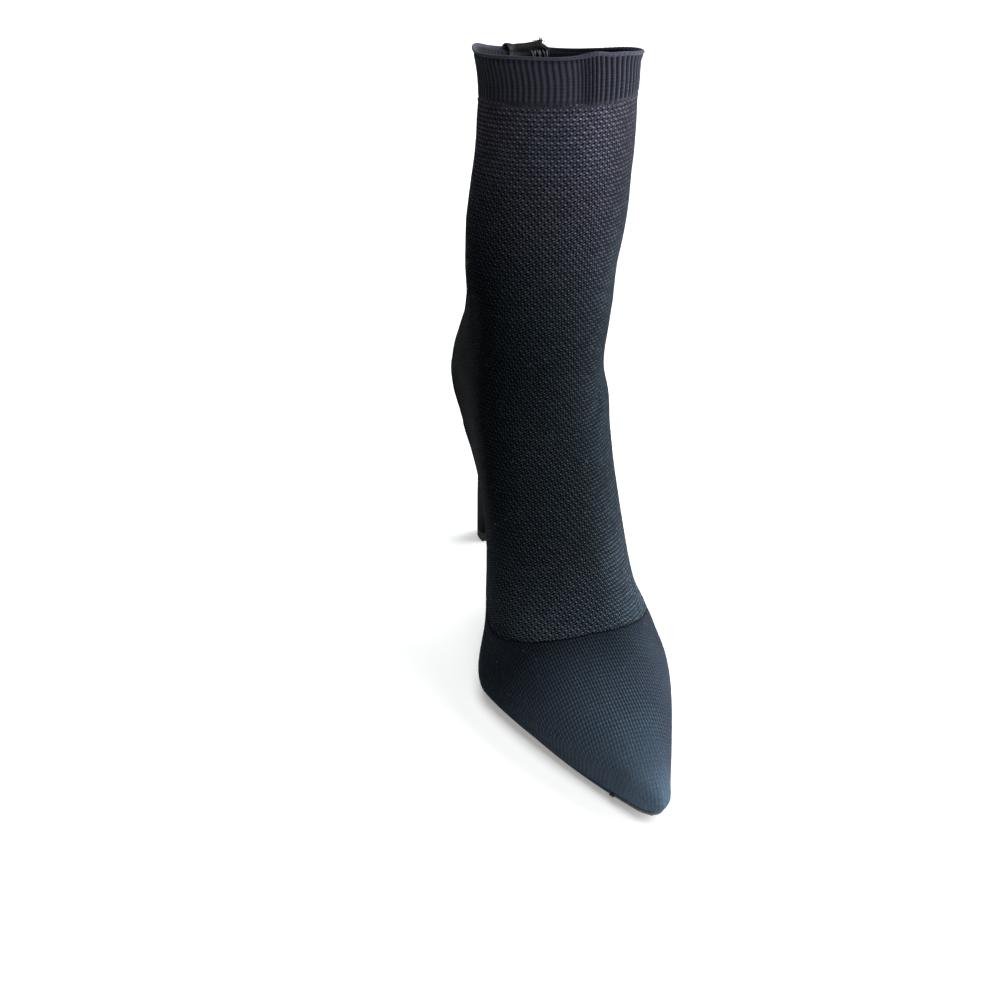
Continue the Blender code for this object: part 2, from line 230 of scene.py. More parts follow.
def away(turn, centre):
    """Turn from a centre, between -0.5 and 0.5."""
    return (turn - centre + 0.5) % 1.0 - 0.5


def bumps(turn, table):
    """Sum of soft bumps round the leg."""
    return sum(height * bell(away(turn, centre), width) for centre, width, height in table)


def unit(vectors):
    return vectors / np.maximum(np.linalg.norm(vectors, axis=-1, keepdims=True), TINY)


def run_length(points):
    """Length along rows of points from the first one."""
    steps = np.linalg.norm(np.diff(points, axis=0), axis=-1)
    return np.concatenate([np.zeros_like(steps[:1]), np.cumsum(steps, 0)])


def sole_bottom(d):
    d = np.asarray(d, float)
    spring = TOE_SPRING * (np.maximum(TREAD_FRONT - d, 0) / TREAD_FRONT) ** 2
    u = np.maximum(0.0, (d - TREAD_BACK) / (SEAT_BACK - TREAD_BACK))
    return spring + SEAT_HEIGHT * ((3 - SEAT_SLOPE) * u**2 + (SEAT_SLOPE - 2) * u**3)


def sole_top(d):
    return sole_bottom(d) + SOLE_THICKNESS


def spline_rows(table, t):
    """Rows of a table at the positions t, on a smooth curve through them."""
    t = np.asarray(t, float)
    i = np.clip(t.astype(int), 0, len(table) - 2)
    u = (t - i)[..., None]
    padded = np.concatenate([2 * table[:1] - table[1:2], table, 2 * table[-1:] - table[-2:-1]])
    before, a, b, after = padded[i], padded[i + 1], padded[i + 2], padded[i + 3]
    slope_a, slope_b = (b - before) / 2, (after - a) / 2
    curve = (2 * (a - b) + slope_a + slope_b) * u + 3 * (b - a) - 2 * slope_a - slope_b
    return curve * u * u + slope_a * u + a


def upper_points(t, turn):
    """Points of the upper's outside in millimetres: x, d, z. turn 0 is the front, 0.25 the inner side."""
    t, turn = np.broadcast_arrays(np.asarray(t, float), np.asarray(turn, float))
    ring = np.moveaxis(spline_rows(RINGS, t), -1, 0)
    front_d, front_z, back_d, back_z, shoulder_in, shoulder_out, inner, outer = ring[:8]
    heel_d, heel, waist_in, waist_out, point, sag, x_front, x_back = ring[8:]
    turn = turn % 1.0
    s = (1 - np.cos(2 * np.pi * turn)) / 2
    d = mix(front_d, back_d, s)
    side = turn > 0.5
    shoulder = np.where(side, shoulder_out, shoulder_in)
    width = np.where(side, outer, inner)
    waist = np.where(side, waist_out, waist_in)
    point = np.maximum(point, 0.0)
    blunt = np.where(side, TOE_BLUNT_OUT, TOE_BLUNT_IN) * point
    power = np.where(side, TOE_POWER_OUT, TOE_POWER_IN)
    heel_d = np.maximum(heel_d, shoulder)
    behind = d - front_d
    u = np.clip((behind + blunt) / (shoulder - front_d + blunt), 0.0, 1.0)
    wedge = 1 - (1 - u) ** mix(2, power, point)
    toe = width * wedge ** mix(0.5, 1, point) * arc(behind / TIP_ROUND) ** point
    u = np.clip((d - shoulder) / np.maximum(heel_d - shoulder, TINY), 0.0, 1.0)
    middle = mix(width, heel, smooth(u)) - waist * np.sin(np.pi * u) ** 2
    back = heel * arc((back_d - d) / (back_d - heel_d))
    half = np.where(d < shoulder, toe, np.where(d < heel_d, middle, back))
    chord = mix(sole_top(front_d), sole_top(back_d), s)
    z = mix(front_z, back_z, s) + sag * (sole_top(d) - chord)
    x = mix(x_front, x_back, s) + np.where(side, half, -half)
    return np.stack([x, d, z], -1)


def to_boot(points):
    """Millimetres x, d, z to the boot's frame in metres."""
    return (np.asarray(points, float) - (MIDDLE_X, LENGTH / 2, 0.0)) * MM


def outward(turn):
    """Level directions away from the leg's middle."""
    angle = 2 * np.pi * np.asarray(turn, float)
    return np.stack([-np.sin(angle), -np.cos(angle), np.zeros_like(angle)], -1)


def outer_normals(points):
    """Unit normals of a grid of points that closes round the leg, pointing outwards."""
    along = np.gradient(points, axis=0)
    round_ = np.roll(points, -1, 1) - np.roll(points, 1, 1)
    normal = unit(np.cross(along, round_))
    return normal * np.sign(np.sum(normal * (points - points.mean(1, keepdims=True))))


def value_noise(turn, cells, across, seed):
    """Smooth noise from -1 to 1 that closes after one turn: so many cells round, one per unit across."""
    table = np.random.default_rng(seed).uniform(-1, 1, (cells, NOISE_ROWS))
    a = (turn % 1.0) * cells
    i, j = np.floor(a).astype(int), np.floor(across).astype(int)
    u, v = smooth(a - i), smooth(across - j)
    i, k = i % cells, (i + 1) % cells
    j, m = j % NOISE_ROWS, (j + 1) % NOISE_ROWS
    return mix(mix(table[i, j], table[k, j], u), mix(table[i, m], table[k, m], u), v)


def link(name, mesh):
    obj = bpy.data.objects.new(name, mesh)
    bpy.context.scene.collection.objects.link(obj)
    return obj


def face_out(mesh):
    bm = bmesh.new()
    bm.from_mesh(mesh)
    if bm.calc_volume(signed=True) < 0:
        bmesh.ops.reverse_faces(bm, faces=bm.faces)
        bm.to_mesh(mesh)
    bm.free()


def grid_object(name, points, uvs=None, values=None, close_rows=True):
    """Mesh object from a grid of points in metres whose columns close. uvs have one more row and column."""
    rows, columns = points.shape[:2]
    row_steps = np.arange(rows if close_rows else rows - 1)
    i, j = np.meshgrid(row_steps, np.arange(columns), indexing="ij")
    i2, j2 = (i + 1) % rows, (j + 1) % columns
    corners = [i * columns + j, i2 * columns + j, i2 * columns + j2, i * columns + j2]
    faces = np.stack(corners, -1).reshape(-1, 4)
    mesh = bpy.data.meshes.new(name)
    mesh.from_pydata(points.reshape(-1, 3).tolist(), [], faces.tolist())
    for key, uv in (uvs or {}).items():
        loops = np.stack([uv[i, j], uv[i + 1, j], uv[i + 1, j + 1], uv[i, j + 1]], 2)
        mesh.uv_layers.new(name=key).data.foreach_set("uv", loops.astype(np.float32).reshape(-1))
    for key, value in (values or {}).items():
        kind, field = ("FLOAT_COLOR", "color") if value.ndim == 3 else ("FLOAT", "value")
        layer = mesh.attributes.new(key, kind, "POINT")
        layer.data.foreach_set(field, value.astype(np.float32).reshape(-1))
    obj = link(name, mesh)
    face_out(mesh)
    mesh.shade_smooth()
    return obj


def rgb(r, g, b):
    return (r, g, b, 1.0)


class Graph:
    """Short way to write a material's nodes."""

    def __init__(self, name):
        self.material = bpy.data.materials.new(name)
        self.material.use_nodes = True
        self.tree = self.material.node_tree
        self.shader = self.tree.nodes["Principled BSDF"]

    def node(self, kind, inputs=(), **settings):
        made = self.tree.nodes.new(kind)
        for key, value in settings.items():
            setattr(made, key, value)
        for key, value in dict(inputs).items():
            self.put(made.inputs[key], value)
        return made

    def put(self, socket, value):
        if isinstance(value, bpy.types.NodeSocket):
            self.tree.links.new(value, socket)
        else:
            socket.default_value = value

    def math(self, operation, *values):
        return self.node("ShaderNodeMath", dict(enumerate(values)), operation=operation).outputs[0]

    def add(self, *values):
        total = values[0]
        for value in values[1:]:
            total = self.math("ADD", total, value)
        return total

    def mul(self, a, b):
        return self.math("MULTIPLY", a, b)

    def less(self, a, b):
        return self.math("SUBTRACT", a, b)

    def cosine(self, turns):
        return self.math("COSINE", self.mul(turns, 2 * math.pi))

    def step(self, value, low, high):
        """Soft step from 0 at low to 1 at high."""
        inputs = {0: value, 1: low, 2: high, 3: 0.0, 4: 1.0}
        return self.node("ShaderNodeMapRange", inputs, interpolation_type="SMOOTHSTEP").outputs[0]

    def blend(self, share, a, b):
        return self.node("ShaderNodeMix", {0: share, 2: a, 3: b}, data_type="FLOAT").outputs[0]

    def colour(self, share, a, b, kind="MIX"):
        inputs = {0: share, 6: a, 7: b}
        return self.node("ShaderNodeMix", inputs, data_type="RGBA", blend_type=kind).outputs[2]

    def stained(self, base, share, stain):
        """Colour multiplied by a stain where the share is 1."""
        return self.colour(share, base, self.colour(1.0, base, stain, "MULTIPLY"))

    def uv(self, name):
        xyz = self.node("ShaderNodeSeparateXYZ", {0: self.node("ShaderNodeUVMap", uv_map=name).outputs[0]})
        return xyz.outputs[0], xyz.outputs[1]

    def value(self, name, output="Fac"):
        return self.node("ShaderNodeAttribute", attribute_name=name).outputs[output]

    def place(self, output="Object"):
        return self.node("ShaderNodeTexCoord").outputs[output]

    def noise(self, scale, detail=2.0, roughness=0.5, vector=None):
        inputs = {"Scale": scale, "Detail": detail, "Roughness": roughness}
        inputs["Vector"] = vector or self.place()
        return self.node("ShaderNodeTexNoise", inputs).outputs["Fac"]

    def cells(self, scale, **settings):
        inputs = {"Scale": scale, "Vector": self.place()}
        return self.node("ShaderNodeTexVoronoi", inputs, **settings).outputs["Distance"]

    def bump(self, height, strength, distance):
        inputs = {"Height": height, "Strength": strength, "Distance": distance}
        return self.node("ShaderNodeBump", inputs).outputs["Normal"]

    def finish(self, **sockets):
        for key, value in sockets.items():
            self.put(self.shader.inputs[key.replace("_", " ")], value)
        return self.material


def crowding(*bunches):
    """Stitches gained from the back round to each turn where they bunch: (centre, width, stitches a turn)."""
    steps = 720
    turn = np.linspace(-0.5, 0.5, steps + 1)
    extra = bumps(turn, bunches)
    extra -= extra.mean() * (1 - np.cos(2 * np.pi * turn))
    gained = np.concatenate([[0], np.cumsum((extra[1:] + extra[:-1]) / 2)]) / steps
    gained -= np.linspace(0, gained[-1], steps + 1)
    return turn, gained - gained[steps // 2]


CROWD_LOW = crowding((0.885, 0.06, 72.0))
CROWD_MIDDLE = crowding((0.0, 0.12, 14.0))
CROWD_TOP = crowding((0.84, 0.06, 34.0))
CROWD_CUFF = crowding((0.006, 0.02, 78.0), (0.9, 0.06, -16.0))


def bunched(turn, crowd):
    return np.interp(away(turn, 0.0), *crowd)


def seam_row(turn):
    """Section at which the vamp's seam crosses a turn."""
    return np.interp(np.abs(away(turn, 0.0)), SEAM_TURN, SEAM_ROW)


def seam_distance(t, turn, points):
    """Millimetres above the vamp's seam, less than 0 on the vamp."""
    nudge = 0.002
    step_t = np.linalg.norm(np.gradient(points, axis=0), axis=-1) / np.gradient(t, axis=0)
    step_u = np.linalg.norm(np.roll(points, -1, 1) - np.roll(points, 1, 1), axis=-1) * BODY_COLUMNS / 2
    slope = (seam_row(turn + nudge) - seam_row(turn - nudge)) / (2 * nudge)
    return (t - seam_row(turn)) * step_t / np.sqrt(1 + (slope * step_t / step_u) ** 2)


def outer_share(turn):
    """1 on the outer side, where light and shade are painted into the knit's colour and its stitches run
    together, 0 elsewhere.
    """
    return window(turn % 1.0, 0.55, 0.1, 0.88, 0.1)


def vamp_trough(t, x, d):
    """Soft trough across the vamp with a ridge in front of it."""
    centre = 46.0
    bow = 0.022 * (x + 2.0) ** 2
    behind = d - (centre + bow)
    trough = 0.3 * bell(behind + 15.0, 8.0) - 0.55 * bell(behind, 7.0)
    return trough * window(t, 2.2, 1.5, 5.6, 0.5)


def ankle_fold(turn, z):
    """Fold at the outer side of the ankle, running down towards the instep."""
    low, high = 83.0, 117.0
    along = np.clip((0.995 - turn) / 0.135, 0, 1)
    above = z - mix(low, high, smooth(along) * 0.6 + along * 0.4)
    fold = 0.7 * bell(above + 6.5, 8.0) - 0.25 * bell(above - 4.0, 6.0)
    return fold * window(turn, 0.7, 0.09, 0.87, 0.07)


def seam_crease(t, turn, ends):
    """Short crease between two places on the upper, with a ridge beside it."""
    mm_a_turn, mm_a_section = 420.0, 25.0
    t_0, turn_0, t_1, turn_1 = ends
    share = np.clip((t - t_0) / (t_1 - t_0), 0, 1)
    sideways = away(turn, mix(turn_0, turn_1, share)) * mm_a_turn
    beyond = (t - mix(t_0, t_1, share)) * mm_a_section
    return 0.25 * bell(np.hypot(sideways - 2.6, beyond), 1.6) - 0.6 * bell(np.hypot(sideways, beyond), 1.5)


def body_relief(t, turn, points, seam):
    """Height of seams, folds and troughs over the plain form, in millimetres."""
    x, d, z = np.moveaxis(points, -1, 0)
    relief = sum(height * bell(seam - off, width) for off, width, height in SEAM_FORM)
    relief += vamp_trough(t, x, d) + ankle_fold(turn, z)
    relief += np.interp(z, OUTER_Z, OUTER_OUT) * bumps(turn, OUTER_PLACE)
    relief += np.interp(z, INNER_Z, INNER_OUT) * bumps(turn, INNER_PLACE)
    relief += bumps(turn, TIP_FORM) * (1 - smooth((t - 2.0) / 1.5))
    for ends in SEAM_CREASES:
        relief += seam_crease(t, turn, ends)
    for height, cells, tall, seed, fades in SLACK:
        relief += height * value_noise(turn, cells, z / tall, seed) * window(t, *fades)
    return relief


def body_tint_and_light(points, turn, seam):
    """Colour of the yarn along the boot with painted light and shade: greyer at the top, black at the ankle,
    navy and lit towards the toe, lit on the outer side, shaded on the inner side and low at the back.
    """
    d, z = points[..., 1], points[..., 2]
    outer = outer_share(turn)
    # share of the outer side that gets painted light and shade
    side = outer * smooth((turn % 1.0 - 0.74) / 0.1)
    # painted light low on the outer side and painted shade near its top
    rubbed = np.interp(z, LIT_OUTER_Z, LIT_OUTER_TONE)
    # painted shade on the inner side
    shade = window(turn % 1.0, 0.08, 0.1, 0.36, 0.1) * np.interp(z, SHADE_Z, SHADE_TONE)
    # painted shade low at the back, round the heel
    back = 0.3 * smooth((d - 180) / 20) * (1 - smooth((z - 130) / 30))
    deep = np.interp(z, SHAFT_Z, SHAFT_TONE) * (1 + np.where(rubbed < 0, outer, side) * rubbed)
    deep = deep * (1 - shade) * (1 - back)
    low = np.interp(d, VAMP_D, VAMP_TONE) * (1 + side * np.interp(d, LIT_EDGE_D, LIT_EDGE_TONE)) * (1 - back)
    warm = smooth((z - 150) / 70)[..., None]
    shaft = deep[..., None] * mix(ANKLE_HUE, TOP_HUE, warm)
    vamp = low[..., None] * mix(VAMP_HUE, LIT_EDGE_HUE, side[..., None])
    colour = mix(vamp, shaft, smooth(seam / 0.5 + 0.5)[..., None])
    return np.concatenate([colour, np.ones_like(colour[..., :1])], -1)


def foot_wave(turn):
    """How far the cuff's foot line rises round the leg, in millimetres."""
    return bumps(turn, FOOT_WAVE)


def shaft_cloth(points, t, turns, cuff_row):
    """Wales round the shaft and courses down from the cuff, in stitches."""
    run = run_length(points)
    run = run - run[cuff_row]
    courses = (run + COURSES_GROW * np.minimum(run + COURSES_EVEN, 0) ** 2) / STITCH_HEIGHT
    low = 1 - smooth((t - 8) / 2.5)
    middle = 1 - smooth((t - 6.8) / 1.6)
    top = smooth((t - 10) / 1.5)
    wales = turns * STITCHES_ROUND + low * bunched(turns, CROWD_LOW) + middle * bunched(turns, CROWD_MIDDLE)
    wales = wales + top * bunched(turns, CROWD_TOP)
    lean = WALE_LEAN * courses - WALE_TURN * np.minimum(courses + WALE_STRAIGHT, 0)
    return np.stack([lean - wales, courses], -1)


def vamp_cloth(points):
    """Columns across the vamp and rows along its middle line, in stitches."""
    x, d, z = np.moveaxis(points, -1, 0)
    front = upper_points(np.linspace(1.0, 10.0, 200), 0.0)
    along = np.interp(d, front[:, 1], run_length(front))
    off = x - np.interp(d, front[:, 1], front[:, 0])
    drop = np.maximum(np.interp(d, front[:, 1], front[:, 2]) - z, 0)
    reach = np.hypot(off, VAMP_DROP * drop * smooth(np.abs(off) / VAMP_CROWN))
    across = np.where(off > 0, 1, -1) * reach
    return np.stack([(across - VAMP_LEAN * d + VAMP_BOW * d**2) / VAMP_COLUMN, along / VAMP_ROW], -1)


def side_cloth(points, turns):
    """Columns round the foot and rows up from the sole, in stitches."""
    rise = run_length(points)
    round_ = run_length(upper_points(2.0, turns))
    round_ = np.abs(round_ - round_[BODY_COLUMNS // 2])
    return np.stack([np.broadcast_to(round_ / SIDE_COLUMN, rise.shape), rise / SIDE_ROW], -1)


def knit_lining(turn):
    """Inside of the knit, from the cuff down to the sole."""
    t, turn = np.meshgrid(np.linspace(CUFF_FOOT + TUCK, 0, LINING_ROWS), turn, indexing="ij")
    points = upper_points(t, turn)
    depth = np.where(t > CUFF_FOOT - 0.05, WALL - CUFF_LAYER, WALL)
    return points - outer_normals(points) * depth[..., None]


def make_body():
    shown_rows = np.concatenate([np.arange(start, end, step) for start, end, step in BODY_ROWS])
    rows = np.concatenate([shown_rows, CUFF_FOOT + TUCK * TUCK_ROWS])
    columns = np.arange(BODY_COLUMNS) / BODY_COLUMNS - 0.5
    t, turn = np.meshgrid(rows, columns, indexing="ij")
    t = t + foot_wave(turn) / CUFF_HEIGHT * smooth(t - CUFF_FOOT + 1)
    plain = upper_points(t, turn)
    normal = outer_normals(plain)
    seam = seam_distance(t, turn, plain)
    tucked = np.where(rows > CUFF_FOOT + 0.005, -TUCK_DEPTH, 0.0)[:, None]
    outside = plain + normal * (body_relief(t, turn % 1.0, plain, seam) + tucked)[..., None]
    level = unit(normal[:1] * (1, 1, 0))
    lip = [outside[:1] + level * out + (0, 0, -down) for out, down in LIP]
    points = np.concatenate([*lip, outside, knit_lining(columns)])

    turns = np.arange(BODY_COLUMNS + 1) / BODY_COLUMNS - 0.5
    wide = np.concatenate([plain, plain[:, :1]], 1)
    wide_t = np.concatenate([t, t[:, :1]], 1)
    cloths = {
        "knit": shaft_cloth(wide, wide_t, turns, len(shown_rows)),
        "vamp": vamp_cloth(wide),
        "side": side_cloth(wide, turns),
    }

    def pad(a):
        return np.concatenate([np.repeat(a[:1], len(LIP), 0), a, np.repeat(a[-1:], LINING_ROWS + 1, 0)])

    def spread(a, inner):
        return np.concatenate([np.repeat(a[:1], len(LIP), 0), a, np.full((LINING_ROWS, *a.shape[1:]), inner)])

    d, z = plain[..., 1], plain[..., 2]
    # the yarn's colour with painted light and shade in it
    tint_and_light = spread(body_tint_and_light(plain, turn, seam), 0.5)
    round_toe = smooth((WELT_END - d[:1]) / WELT_FADE)[..., None]
    tint_and_light[:WELT_ROWS, :, :3] = mix(tint_and_light[:WELT_ROWS, :, :3], WELT_TINT, round_toe)
    on_side = np.maximum(outer_share(turn), 0.4 * smooth((z - 195) / 30))
    at_toe = smooth((42 - d) / 30)
    calm = np.where(seam > 0, on_side, np.maximum(at_toe, on_side * 0.6))
    values = {
        "seam": spread(seam, 9.0),
        "lining": spread(np.zeros(t.shape), 1.0),
        "far": spread(smooth((d - SIDE_START) / SIDE_BLEND), 1.0),
        "calm": spread(calm, 0.5),
        "tint_and_light": tint_and_light,
    }
    obj = grid_object("knit_body", to_boot(points), {key: pad(uv) for key, uv in cloths.items()}, values)
    obj.data.materials.append(knit_material())
    return obj


def shaft_stitches(g, wobble, depth, calm):
    """Height of the shaft's knit: slanted stitches in wales and courses, each a little different."""
    u, v = g.uv("knit")
    u = g.add(u, g.mul(wobble, 0.35))
    v = g.add(v, g.mul(wobble, 0.3))
    slant = g.add(u, g.mul(v, 0.5))
    steep = g.mul(v, 1.5)
    wave = g.add(
        g.mul(g.cosine(slant), 0.3),
        g.mul(g.cosine(g.less(u, steep)), 0.28),
        g.mul(g.cosine(g.add(u, steep)), 0.22),
        g.mul(g.cosine(g.mul(u, 2.0)), 0.22),
        g.mul(g.cosine(g.mul(slant, 2.0)), 0.12),
        g.mul(g.cosine(v), g.add(0.2, g.mul(calm, 0.4))),
    )
    stitch = g.node("ShaderNodeCombineXYZ", {0: g.math("ROUND", slant), 1: g.math("ROUND", v)}).outputs[0]
    chance = g.node("ShaderNodeTexWhiteNoise", {"Vector": stitch}).outputs["Value"]
    heather = g.add(0.75, g.mul(chance, 0.5))
    return g.add(g.mul(g.mul(wave, 0.72), g.mul(depth, heather)), 0.5, g.mul(g.add(chance, -0.5), 0.13))


def waffle(g, name, wobble, depth):
    """Height of the vamp's fine knit: columns and rows with a faint brick pattern."""
    a, b = g.uv(name)
    a = g.add(a, g.mul(wobble, 0.5))
    b = g.add(b, g.mul(wobble, 0.4))
    columns, rows = g.cosine(a), g.cosine(b)
    brick = g.cosine(g.add(g.mul(a, 0.5), g.mul(b, -1.5)))
    squares = g.mul(g.mul(columns, rows), 0.06)
    wave = g.add(g.mul(columns, 0.22), g.mul(rows, 0.12), squares, g.mul(brick, 0.08))
    return g.add(g.mul(wave, depth), 0.5)


def knit_material():
    g = Graph("boot_knit")
    wobble = g.add(g.noise(90.0, 1.0), -0.5)
    calm = g.value("calm")
    depth = g.less(1.0, g.mul(calm, 0.75))
    shaft = shaft_stitches(g, wobble, depth, calm)
    vamp = g.blend(g.value("far"), waffle(g, "vamp", wobble, depth), waffle(g, "side", wobble, depth))
    seam = g.value("seam")
    on_shaft = g.step(seam, -0.2, 0.2)
    fibre = g.noise(1500.0, 3.0, 0.6)
    height = g.blend(on_shaft, vamp, shaft)
    rough = g.add(height, g.mul(g.add(fibre, -0.5), 0.5))
    # stitches darker in their hollows and lighter on top: partly the yarn's colour, partly painted shade
    lit = g.math("POWER", g.math("MAXIMUM", rough, 0.0), g.blend(on_shaft, 1.5, 2.2))
    low = g.colour(on_shaft, rgb(0.010, 0.010, 0.010), rgb(0.002, 0.002, 0.002))
    high = g.colour(on_shaft, rgb(0.062, 0.062, 0.062), rgb(0.095, 0.095, 0.095))
    # times the tint, which holds the yarn's colour with painted light and shade
    base = g.colour(1.0, g.colour(lit, low, high), g.value("tint_and_light", "Color"), "MULTIPLY")
    patches = g.step(g.noise(26.0, 3.0, 0.6), 0.35, 0.7)
    base = g.stained(base, g.mul(patches, 0.3), rgb(0.5, 0.85, 0.85))
    elsewhere = g.node("ShaderNodeMapping", {0: g.place(), 1: (0.4, 0.2, 0.7)}).outputs[0]
    blush = g.step(g.noise(34.0, 3.0, 0.6, elsewhere), 0.45, 0.75)
    base = g.stained(base, g.mul(blush, 0.3), rgb(1.2, 0.95, 1.08))
    dash = g.step(g.cosine(g.mul(g.uv("vamp")[0], 0.8)), -0.95, -0.6)
    groove = g.less(1.0, g.step(g.math("ABSOLUTE", g.add(seam, 0.15)), 0.15, 0.5))
    base = g.colour(g.mul(groove, g.add(0.25, g.mul(dash, 0.65))), base, rgb(0.0015, 0.002, 0.003))
    lint = g.step(g.noise(900.0, 0.0), 0.79, 0.83)
    base = g.colour(g.mul(lint, 0.25), base, rgb(0.13, 0.15, 0.18))
    base = g.colour(g.value("lining"), base, rgb(0.012, 0.012, 0.014))
    return g.finish(
        Base_Color=base,
        Normal=g.bump(g.add(height, g.mul(fibre, 0.35)), 0.7, 0.0008),
        Roughness=0.9,
        Specular_IOR_Level=0.03,
        Sheen_Weight=0.008,
        Sheen_Roughness=0.4,
        Sheen_Tint=rgb(0.72, 0.85, 1.0),
    )


def outer_side(turn):
    """1 where the cuff's ribs stand sharp, from the front to the outer side, 0 elsewhere."""
    return window(away(turn, 0.0), -0.4, 0.12, 0.0, 0.03)


def cuff_points(below, turn, swell):
    """Points at a distance below the rim, standing off the plain form by swell."""
    share = smooth(below / CUFF_HEIGHT)
    t = CUFF_FOOT + 1 - below / CUFF_HEIGHT
    flare = (0.2 + bumps(turn, RIM_FLARE)) * (1 - smooth(below / 6.0))
    points = upper_points(t, turn) + outward(turn) * (np.asarray(swell) + flare)[..., None]
    points[..., 2] += bumps(turn, RIM_WAVE) * (1 - share) + foot_wave(turn) * share
    return points


def rib_turns(phase):
    """Turn at which a rib's phase lies, with 0 at the front."""
    turn, gained = CROWD_CUFF
    at = turn * RIBS + gained
    return np.interp((phase - at[0]) % RIBS + at[0], at, turn)


def rib_shape(phase, turn, below):
    """Ribs from 0 in the furrows to 1 on the crests: broad and double, or narrow on the outer side."""
    lean = 0.05 * value_noise(turn, 11, below / 6.0, 8) + 0.05 * value_noise(turn, 44, below / 12.0, 9)
    wave = 0.5 + 0.5 * np.cos(2 * np.pi * (phase + lean))
    double = 0.12 * (1 - np.cos(4 * np.pi * (phase + lean)))
    return mix(np.maximum(wave**0.4 - double * wave, 0), wave**0.9, outer_side(turn))


def make_cuff():
    columns = RIBS * RIB_STEPS
    phase = np.arange(columns) / RIB_STEPS - RIBS / 2
    turn = rib_turns(phase)
    roll = ROLL + ROLL_SHARP * outer_side(turn)

    # outside, from the foot to the rim
    ribbed = np.linspace(CUFF_HEIGHT - 0.3, 2.4 * ROLL, 24)
    rise = np.concatenate([[CUFF_HEIGHT + 0.35, CUFF_HEIGHT + 0.1], ribbed])
    below_o, turn_o = np.meshgrid(rise, turn, indexing="ij")
    ribs = rib_shape(np.broadcast_to(phase, below_o.shape), turn_o, below_o)
    fade = smooth((CUFF_HEIGHT + 0.3 - below_o) / 1.2) * smooth((below_o - 1.4 * ROLL) / 1.2)
    sharp = outer_side(turn_o)
    under_rim = 0.4 * bell(below_o - 2.6 * ROLL, 0.8) * (1 - sharp)
    swell = 0.05 + mix(RIB_SOFT, RIB_SHARP, sharp) * ribs * fade + bumps(turn_o, CUFF_FOLD) - under_rim
    outside = cuff_points(below_o, turn_o, swell)

    # rolled rim
    angles = np.linspace(-0.28, 1.28, 15) * np.pi
    angle, turn_r = np.meshgrid(angles, turn, indexing="ij")
    ripple = 0.06 * np.cos(2 * np.pi * phase) * outer_side(turn_r)
    radius = roll + ripple + 0.08 * value_noise(turn_r, 24, angle, 12)
    centre = RIM_OUT - roll + bumps(turn_r, CUFF_FOLD)
    rim = cuff_points(roll - radius * np.sin(angle), turn_r, centre + radius * np.cos(angle))

    # inner layer, down past the cuff's foot, and back up between the layers
    below_i, turn_i = np.meshgrid(np.linspace(3.2 * ROLL, CUFF_HEIGHT + CUFF_INSIDE, 12), turn, indexing="ij")
    ribs_i = rib_shape(phase + 0.5, turn_i, below_i)
    inside = cuff_points(below_i, turn_i, -WALL - 0.1 + 0.3 * (1 - ribs_i))
    below_u, turn_u = np.meshgrid(np.linspace(CUFF_HEIGHT + CUFF_INSIDE, 4.2 * ROLL, 5), turn, indexing="ij")
    return_in = cuff_points(below_u, turn_u, np.full(below_u.shape, -WALL + BAND))
    below_l, turn_l = np.meshgrid(np.linspace(4.2 * ROLL, CUFF_HEIGHT + 0.3, 5), turn, indexing="ij")
    return_out = cuff_points(below_l, turn_l, np.full(below_l.shape, -BAND * 0.75))
    points = np.concatenate([outside, rim, inside, return_in, return_out])

    # painted highlight on the crests and the rim, painted shade in the furrows and under the rim, and
    # threads' coordinates
    rim_rows = slice(len(rise), len(rise) + len(angles))
    inner_rows = slice(rim_rows.stop, rim_rows.stop + len(below_i))
    rib_light_and_shade = np.zeros(points.shape[:2])
    rib_light_and_shade[: len(rise)] = mix(0.65, ribs * mix(1.2, 0.88, sharp), fade) - 0.5 * under_rim
    rib_light_and_shade[rim_rows] = mix(1.05, 0.92, outer_side(turn)) + 0.14 * np.cos(4 * np.pi * phase)
    rib_light_and_shade[inner_rows] = ribs_i * 0.5
    lining = np.zeros(points.shape[:2])
    lining[rim_rows.stop:] = 1
    below = np.concatenate([below_o, roll - roll * np.sin(angle), below_i, below_u, below_l, below_o[:1]])
    below = np.concatenate([below, below[:, :1]], 1)
    phases = np.arange(columns + 1) / RIB_STEPS - RIBS / 2
    uv = np.stack([np.broadcast_to(-phases, below.shape), below], -1)
    obj = grid_object("rib_cuff", to_boot(points), {"knit": uv}, {"rib_light_and_shade": rib_light_and_shade, "lining": lining})
    obj.data.materials.append(rib_material())
    return obj


def rib_material():
    g = Graph("cuff_rib_knit")
    v = g.uv("knit")[1]
    wobble = g.add(g.noise(300.0, 1.0), -0.5)
    rungs = g.cosine(g.add(g.mul(v, 0.95), g.mul(wobble, 0.6)))
    fibre = g.noise(1600.0, 3.0, 0.6)
    # painted highlight on the rib crests and the rim, painted shade in the furrows and under the rim
    light = g.add(g.mul(g.value("rib_light_and_shade"), 0.75), g.mul(rungs, 0.05), g.mul(g.add(fibre, -0.5), 0.35))
    lit = g.math("POWER", g.math("MAXIMUM", light, 0.0), 1.4)
    base = g.colour(lit, rgb(0.009, 0.0095, 0.013), rgb(0.078, 0.08, 0.113))
    base = g.colour(g.value("lining"), base, rgb(0.012, 0.012, 0.015))
    return g.finish(
        Base_Color=base,
        Normal=g.bump(g.add(g.mul(rungs, 0.3), g.mul(fibre, 0.6)), 0.5, 0.0004),
        Roughness=0.9,
        Specular_IOR_Level=0.05,
        Sheen_Weight=0.12,
        Sheen_Roughness=0.35,
        Sheen_Tint=rgb(0.75, 0.85, 1.0),
    )


